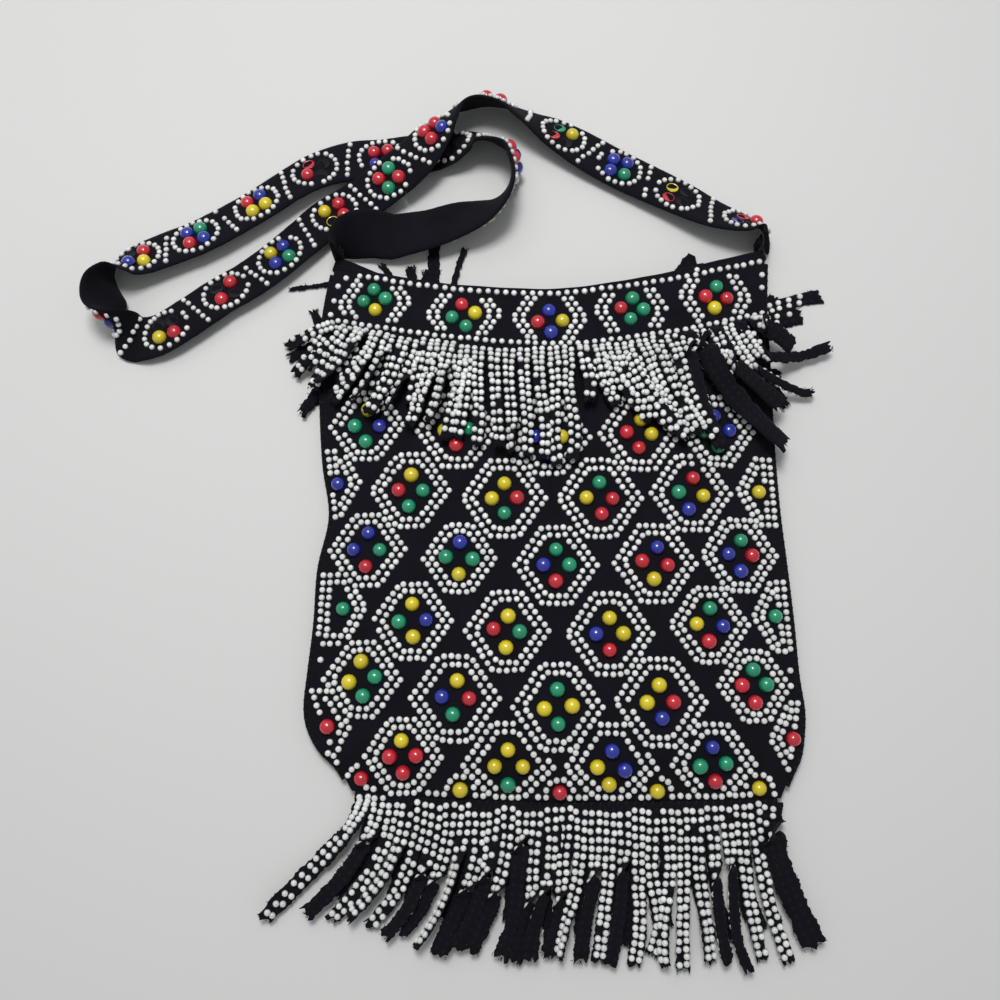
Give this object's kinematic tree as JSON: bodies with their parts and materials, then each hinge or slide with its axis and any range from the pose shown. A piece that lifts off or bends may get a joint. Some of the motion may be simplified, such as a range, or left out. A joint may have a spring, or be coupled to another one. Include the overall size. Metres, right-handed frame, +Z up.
{
  "type": "beaded shoulder bag",
  "caption": "Flat cloth pouch with a dome-beaded front and back, a cuff round an open mouth, two strip fringes and a long beaded shoulder strap, lying on its back.",
  "frame": {"origin": "flat tip of the bead in the middle of the back, on the surface that the bag lies on", "axes": "+Z up out of the beaded front, +Y from the base towards the mouth, +X to the right of someone looking down at the front with the mouth away from them"},
  "size_m": [0.3872, 0.4485, 0.0276],
  "materials": {
    "black_cloth": "matte black knitted cloth, faintly blue",
    "lining_cloth": "smooth black woven lining",
    "thread": "twisted black thread",
    "white_beads": "small off-white domes, satin gloss",
    "red_beads": "large clear red domes, high gloss",
    "yellow_beads": "large clear yellow domes, high gloss",
    "green_beads": "large clear green domes, high gloss",
    "blue_beads": "large clear blue domes, high gloss"
  },
  "bodies": {
    "pouch": {"back_panel": "black_cloth", "back_lining": "lining_cloth", "back_cuff": "black_cloth", "back_mouth_hem": "black_cloth", "left_side_seam": "black_cloth", "right_side_seam": "black_cloth", "bottom_seam": "black_cloth", "back_upper_fringe": "black_cloth", "turned_back_strip": "black_cloth", "left_strap_tab": "black_cloth", "right_strap_tab": "black_cloth", "left_bar_tack_1": "thread", "left_bar_tack_2": "thread", "right_bar_tack_1": "thread", "right_bar_tack_2": "thread"},
    "front_wall": {"front_panel": "black_cloth", "front_lining": "lining_cloth", "front_cuff": "black_cloth", "front_mouth_hem": "black_cloth", "upper_fringe_left": "black_cloth", "upper_fringe_right": "black_cloth"},
    "upper_fringe": {"upper_fringe_middle": "black_cloth"},
    "bottom_fringe": {"bottom_fringe_front": "black_cloth", "bottom_fringe_back": "black_cloth"},
    "strap": {"strap_right_run": "black_cloth", "strap_left_run": "black_cloth"},
    "strap_loop": {"strap_loop_run": "black_cloth"}
  },
  "joints": [
    {"name": "mouth_opens", "type": "hinge", "parent": "pouch", "child": "front_wall", "pos_m": [0, -0.1395, 0.006], "axis": [1, 0, 0], "range_deg": [0, 6]},
    {"name": "upper_fringe_lifts", "type": "hinge", "parent": "front_wall", "child": "upper_fringe", "pos_m": [0, 0.0968, 0.0176], "axis": [-1, 0, 0], "range_deg": [0, 100]},
    {"name": "bottom_fringe_lifts", "type": "hinge", "parent": "pouch", "child": "bottom_fringe", "pos_m": [0, -0.138, 0.008], "axis": [-1, 0, 0], "range_deg": [0, 110]},
    {"name": "strap_swing", "type": "hinge", "parent": "pouch", "child": "strap", "pos_m": [0.11421, 0.14827, 0.013], "axis": [0.9996, 0.0275, 0], "range_deg": [0, 50]},
    {"name": "strap_loop_lifts", "type": "hinge", "parent": "strap", "child": "strap_loop", "pos_m": [-0.0904, 0.1965, 0.0145], "axis": [-0.477, 0.8789, 0], "range_deg": [0, 14]}
  ],
  "couplings": [
    {"joint": "strap_loop_lifts", "follows": "strap_swing", "ratio": 0.28}
  ]
}
